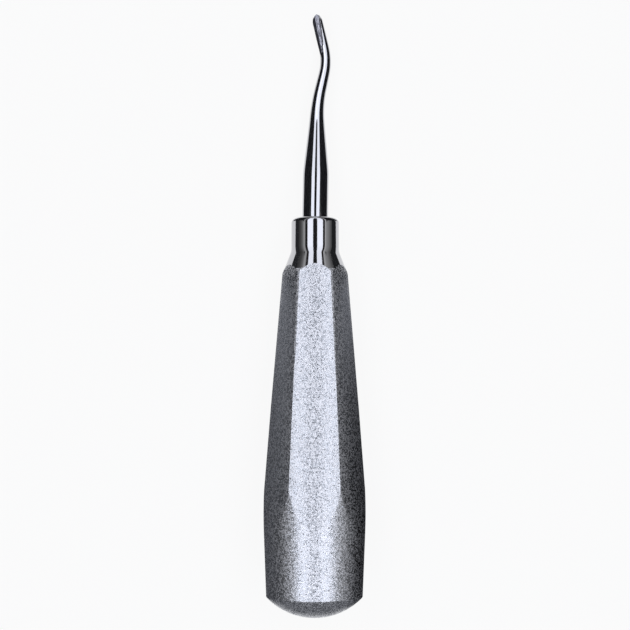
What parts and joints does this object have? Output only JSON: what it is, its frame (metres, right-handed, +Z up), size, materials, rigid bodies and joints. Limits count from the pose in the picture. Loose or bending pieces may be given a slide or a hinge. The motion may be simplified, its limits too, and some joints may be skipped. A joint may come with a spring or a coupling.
{
  "type": "dental elevator",
  "caption": "Steel dental elevator with a large hexagonal blasted handle, a polished round neck and a tapered, double bent shank that ends in a hollow ground, serrated gouge tip",
  "frame": {"origin": "On the ground under the middle of the instrument's length, level with the facet of the handle that it lies on", "axes": "+Y runs along the instrument from the butt to the tip, +Z is up, away from the facet that it lies on, and +X is to the right seen from above with the tip away from the viewer. The shank's bends lie in a plane parallel to the ground and the blade's hollow faces up and toward -X. The handle's axis falls toward the tip by the taper of its facets"},
  "size_m": [0.025, 0.1495, 0.0255],
  "materials": {
    "blasted_steel": "bead blasted satin stainless steel, with a mirror polished neck",
    "polished_steel": "mirror polished stainless steel"
  },
  "bodies": {
    "root": {"handle": "blasted_steel", "working_end": "polished_steel"}
  },
  "joints": []
}
